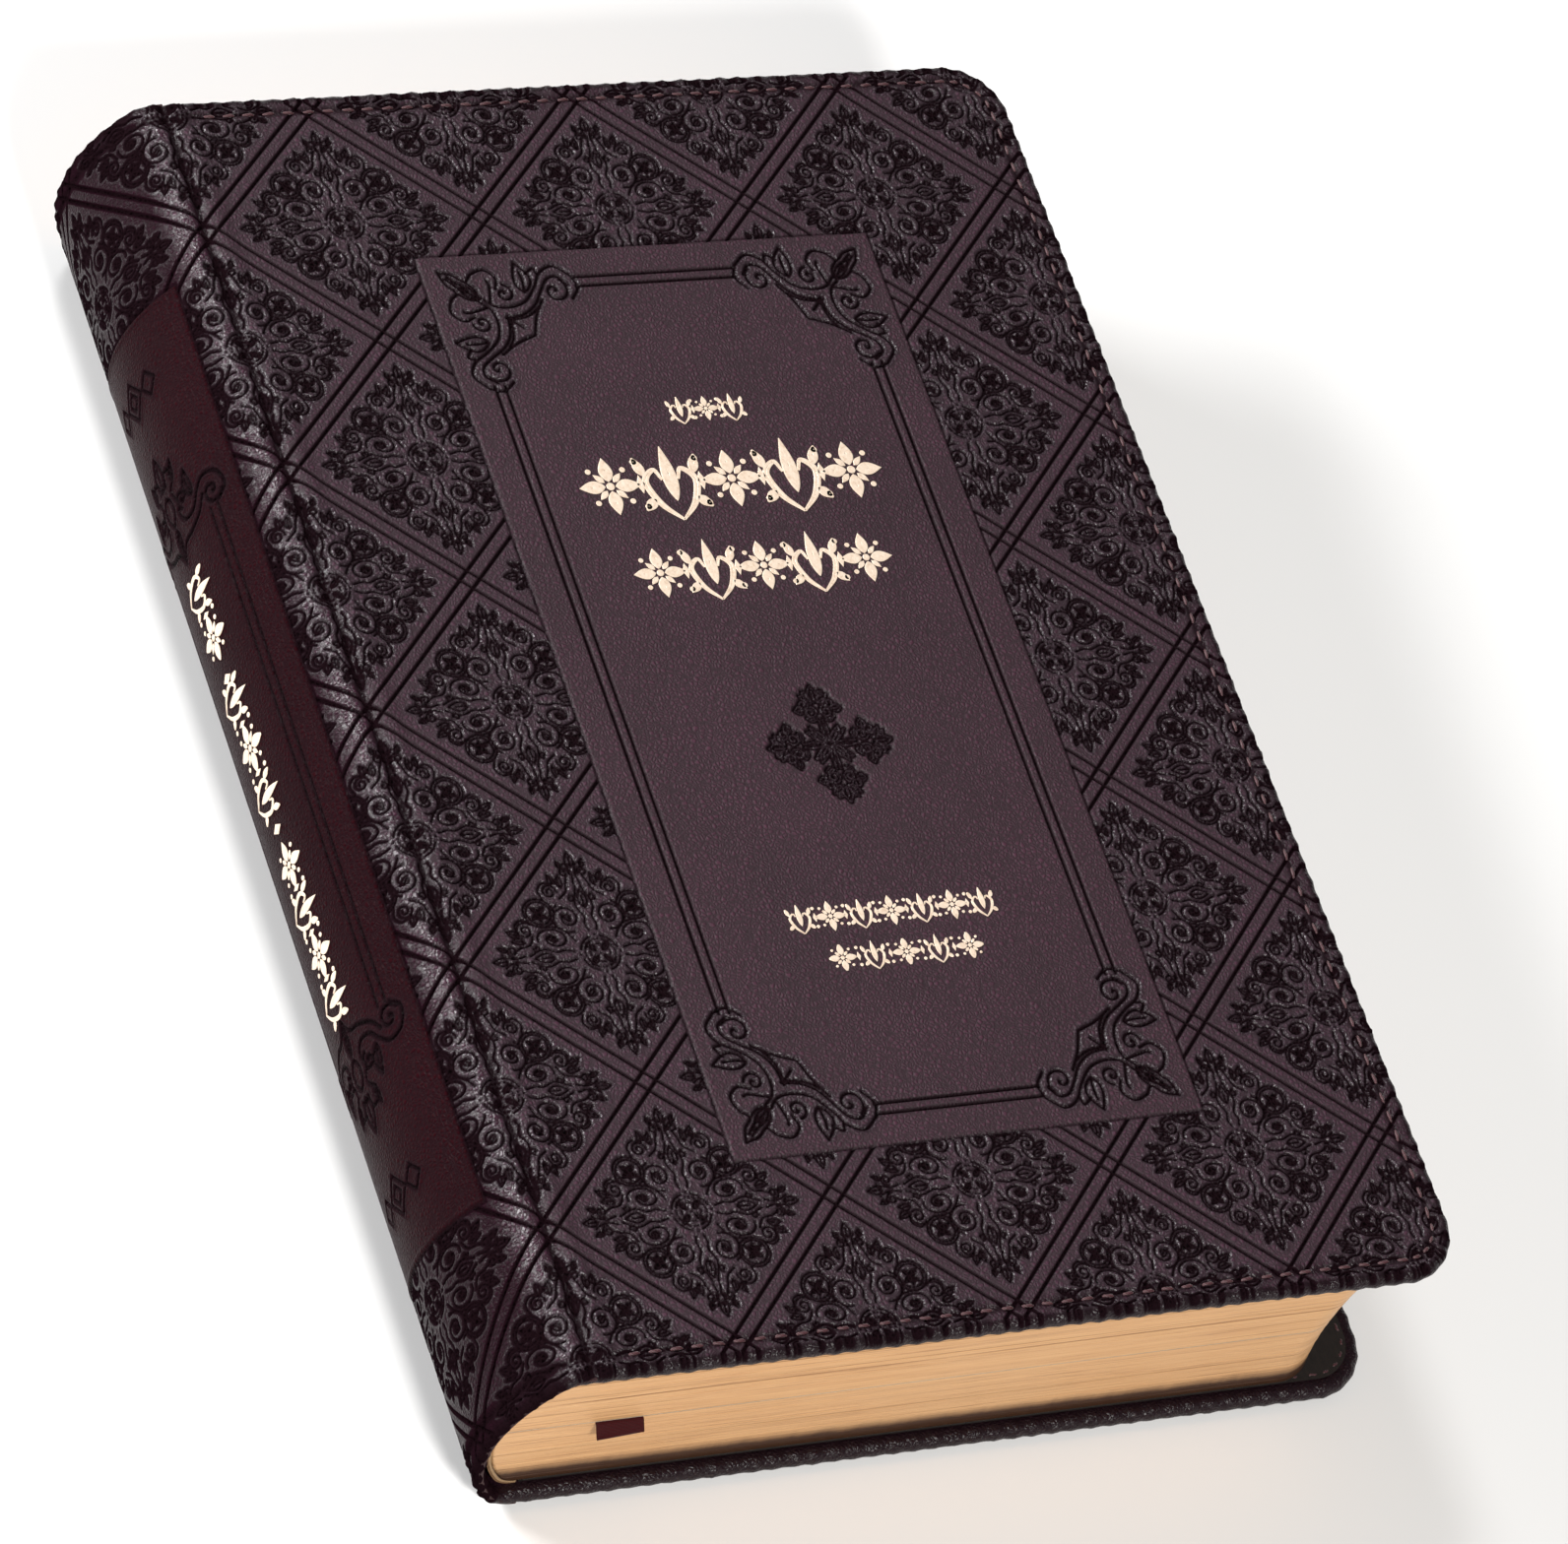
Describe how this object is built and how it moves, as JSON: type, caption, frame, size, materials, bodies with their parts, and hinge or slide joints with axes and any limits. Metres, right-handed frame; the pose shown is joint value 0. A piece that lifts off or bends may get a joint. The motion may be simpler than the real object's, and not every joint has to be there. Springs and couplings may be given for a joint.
{
  "type": "bible",
  "caption": "Thick leather-bound book with embossed covers, rounded spine, gilt page edges and ribbon marker; covers hinge at the creases and the book opens flat at its middle.",
  "frame": {"origin": "centre of the underside of the closed book, on the back cover's outer face", "axes": "+X from the spine to the fore-edge, +Y from the tail to the head, +Z out of the front cover"},
  "size_m": [0.163, 0.236, 0.04],
  "materials": {
    "cover_leather": "fine grained imitation leather, blind embossed, satin",
    "board": "grey-brown bookbinding board",
    "endpaper": "near-black matt endpaper",
    "cover_thread": "dark burgundy polyester thread",
    "foil": "pale gold stamping foil",
    "lining_paper": "brown kraft lining paper",
    "mull": "open-weave starched cotton",
    "gilt_pages": "thin bible paper with gilt edges",
    "book_thread": "off-white waxed sewing thread",
    "ribbon": "dark maroon satin ribbon"
  },
  "bodies": {
    "root": {"lower_sections": "gilt_pages", "lower_sewing_thread": "book_thread", "spine_leather_lower": "cover_leather", "spine_foil_lower": "foil", "spine_stiffener_lower": "board", "spine_lining_lower": "lining_paper", "spine_mull_lower": "mull", "ribbon_marker": "ribbon"},
    "upper_leaves": {"upper_sections": "gilt_pages", "upper_sewing_thread": "book_thread", "spine_leather_upper": "cover_leather", "spine_foil_upper": "foil", "spine_stiffener_upper": "board", "spine_lining_upper": "lining_paper", "spine_mull_upper": "mull"},
    "front_cover": {"front_cover_leather": "cover_leather", "front_cover_board": "board", "front_cover_pastedown": "endpaper", "front_cover_stitching": "cover_thread", "front_cover_foil": "foil"},
    "front_flyleaf": {"front_flyleaf": "endpaper"},
    "back_cover": {"back_cover_leather": "cover_leather", "back_cover_board": "board", "back_cover_pastedown": "endpaper", "back_cover_stitching": "cover_thread"},
    "back_flyleaf": {"back_flyleaf": "endpaper"}
  },
  "joints": [
    {"name": "book_opening", "type": "hinge", "parent": "root", "child": "upper_leaves", "pos_m": [-0.0815, 0, 0.02], "axis": [0, -1, 0], "range_deg": [0, 175]},
    {"name": "front_cover_hinge", "type": "hinge", "parent": "upper_leaves", "child": "front_cover", "pos_m": [-0.0695, 0, 0.04], "axis": [0, -1, 0], "range_deg": [0, 120]},
    {"name": "front_flyleaf_hinge", "type": "hinge", "parent": "upper_leaves", "child": "front_flyleaf", "pos_m": [-0.0695, 0, 0.04], "axis": [0, -1, 0], "range_deg": [0, 117]},
    {"name": "back_cover_hinge", "type": "hinge", "parent": "root", "child": "back_cover", "pos_m": [-0.0695, 0, 0], "axis": [0, 1, 0], "range_deg": [0, 60]},
    {"name": "back_flyleaf_hinge", "type": "hinge", "parent": "root", "child": "back_flyleaf", "pos_m": [-0.0695, 0, 0], "axis": [0, 1, 0], "range_deg": [0, 58.5]}
  ],
  "couplings": [
    {"joint": "front_flyleaf_hinge", "follows": "front_cover_hinge", "ratio": 0.97},
    {"joint": "back_flyleaf_hinge", "follows": "back_cover_hinge", "ratio": 0.97}
  ]
}
